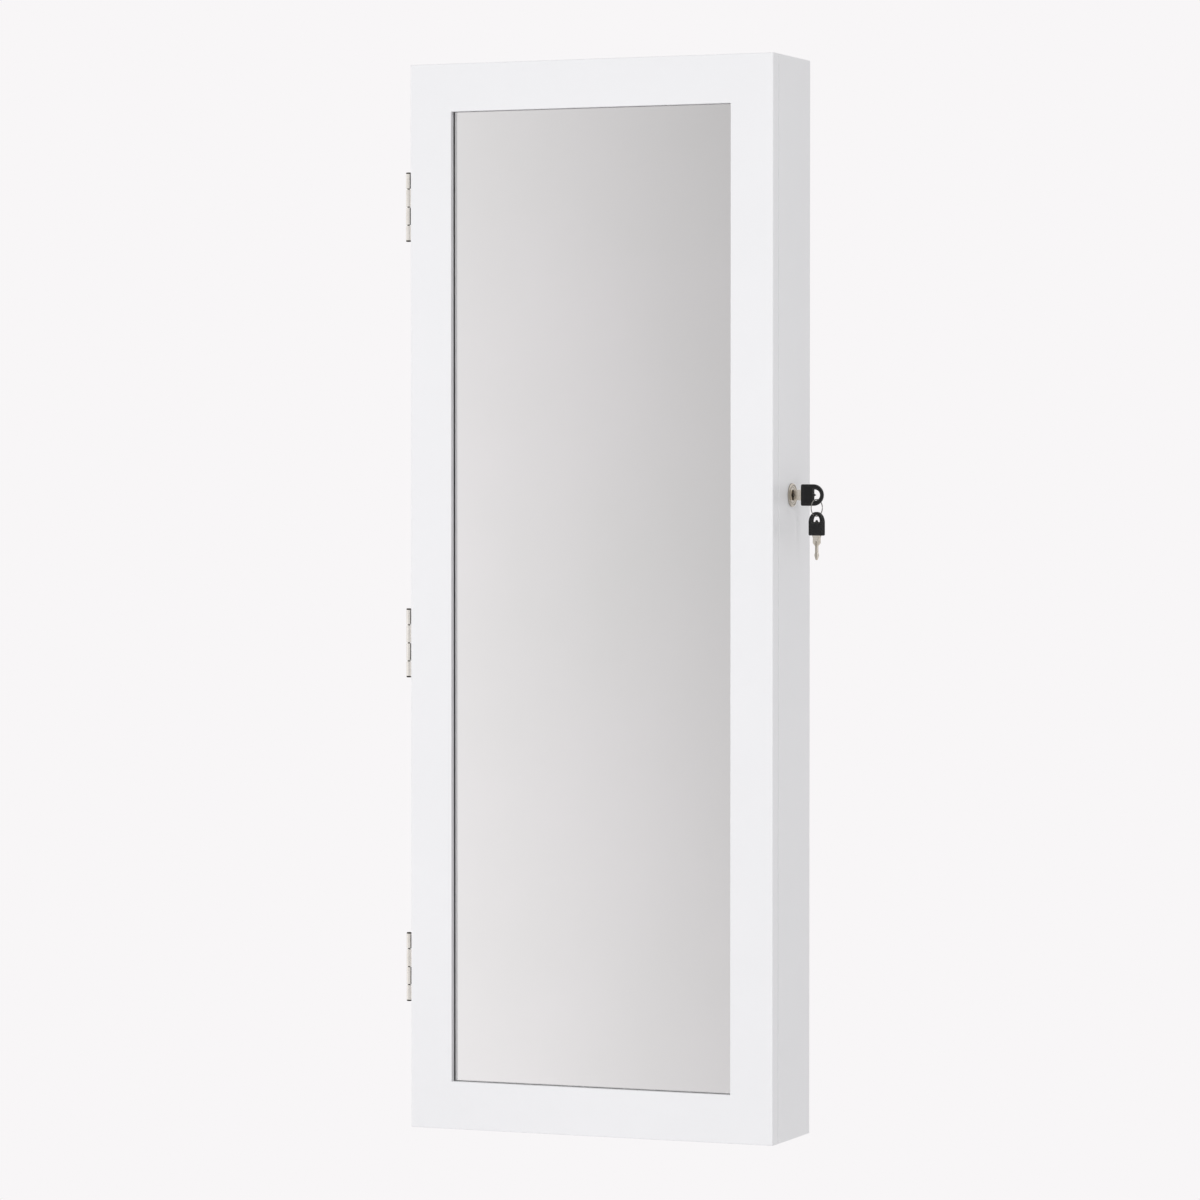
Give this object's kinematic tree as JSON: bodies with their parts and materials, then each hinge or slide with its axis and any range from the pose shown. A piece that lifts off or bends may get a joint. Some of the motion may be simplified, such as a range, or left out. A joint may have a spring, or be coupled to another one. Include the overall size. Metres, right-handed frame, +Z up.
{
  "type": "jewelry mirror cabinet",
  "caption": "Shallow wall-hung jewelry cabinet with a full mirror door on side hinges, side cam lock with hanging key, shelves, hooks and a ring cushion.",
  "frame": {"origin": "centre of the four wall screw holes, on the wall plane (the rear face of the back board)", "axes": "+Z up, -Y towards the viewer in front of the mirror, +Y into the wall, +X towards the lock side, hinges on -X"},
  "size_m": [0.4404, 0.108, 1.08],
  "materials": {
    "painted_board": "satin white painted fibreboard",
    "back_board": "raw brown hardboard",
    "bare_wood": "unfinished beech dowel",
    "velvet": "black velvet flock",
    "bright_steel": "zinc-plated steel",
    "nickel_hinge": "satin nickel plate with a warm tint",
    "pin_steel": "oil-blackened steel",
    "nickel_lock": "bright nickel plate on zinc alloy",
    "polished_rod": "polished nickel-plated steel wire",
    "key_plastic": "black moulded plastic, fine matt grain",
    "key_blade_metal": "nickel-plated brass, lightly worn",
    "ring_wire": "thin bright steel wire",
    "mirror_glass": "clear 3 mm glass silvered on its rear face",
    "backing_card": "grey-brown backing card",
    "soft_bumper": "clear soft silicone",
    "catch_plastic": "white moulded plastic",
    "magnet": "dark sintered ferrite"
  },
  "bodies": {
    "case": {"case_left_side": "painted_board", "case_right_side": "painted_board", "case_top": "painted_board", "case_bottom": "painted_board", "case_back": "back_board", "back_nails": "bright_steel", "case_dowels": "bare_wood", "hanging_rail_top": "painted_board", "hanging_rail_bottom": "painted_board", "back_lining": "velvet", "shelf_upper": "painted_board", "shelf_middle": "painted_board", "shelf_lower": "painted_board", "display_ledge": "painted_board", "shelf_mats": "velvet", "guard_rods": "polished_rod", "display_divider": "painted_board", "ring_cushion": "velvet", "earring_panel": "painted_board", "earring_panel_posts": "painted_board", "necklace_rail": "painted_board", "necklace_hooks": "polished_rod", "hinge_pins": "pin_steel", "case_hinge_screws": "bright_steel", "lock_housing": "nickel_lock", "lock_nut": "nickel_lock", "catch_body": "catch_plastic", "catch_magnet": "magnet", "hinge_top_case_leaf": "nickel_hinge", "hinge_middle_case_leaf": "nickel_hinge", "hinge_bottom_case_leaf": "nickel_hinge"},
    "door": {"door_left_stile": "painted_board", "door_right_stile": "painted_board", "door_top_rail": "painted_board", "door_bottom_rail": "painted_board", "door_frame_dowels": "bare_wood", "mirror_glass": "mirror_glass", "mirror_backing": "backing_card", "door_inner_panel": "painted_board", "door_panel_screws": "bright_steel", "door_hook_rail": "painted_board", "door_hooks": "polished_rod", "earring_slats": "painted_board", "slat_blocks": "painted_board", "door_bumpers": "soft_bumper", "door_hinge_screws": "bright_steel", "lock_striker": "bright_steel", "striker_and_catch_screws": "bright_steel", "catch_plate": "bright_steel", "hinge_top_door_leaf": "nickel_hinge", "hinge_middle_door_leaf": "nickel_hinge", "hinge_bottom_door_leaf": "nickel_hinge"},
    "lock_cylinder": {"lock_plug": "nickel_lock", "lock_cam": "nickel_lock", "cam_screw": "bright_steel"},
    "key": {"key_head": "key_plastic", "key_blade": "key_blade_metal"},
    "ring": {"key_ring": "ring_wire"},
    "spare_key": {"spare_key_head": "key_plastic", "spare_key_blade": "key_blade_metal"}
  },
  "joints": [
    {"name": "door_swing", "type": "hinge", "parent": "case", "child": "door", "pos_m": [-0.2053, -0.0923, 0], "axis": [0, 0, -1], "range_deg": [0, 180]},
    {"name": "lock_turn", "type": "hinge", "parent": "case", "child": "lock_cylinder", "pos_m": [0.196, -0.054, 0.104], "axis": [-1, 0, 0], "range_deg": [0, 90]},
    {"name": "key_withdraw", "type": "slide", "parent": "lock_cylinder", "child": "key", "axis": [1, 0, 0], "range_m": [0, 0.03]},
    {"name": "ring_hang", "type": "hinge", "parent": "key", "child": "ring", "pos_m": [0.2225, -0.054, 0.09631], "axis": [1, 0, 0], "range_deg": [0, 90]},
    {"name": "spare_key_swing", "type": "hinge", "parent": "ring", "child": "spare_key", "pos_m": [0.2225, -0.054, 0.08287], "axis": [0.3746, 0.9272, 0], "range_deg": [-60, 30]}
  ],
  "couplings": [
    {"joint": "ring_hang", "follows": "lock_turn", "ratio": 1}
  ]
}
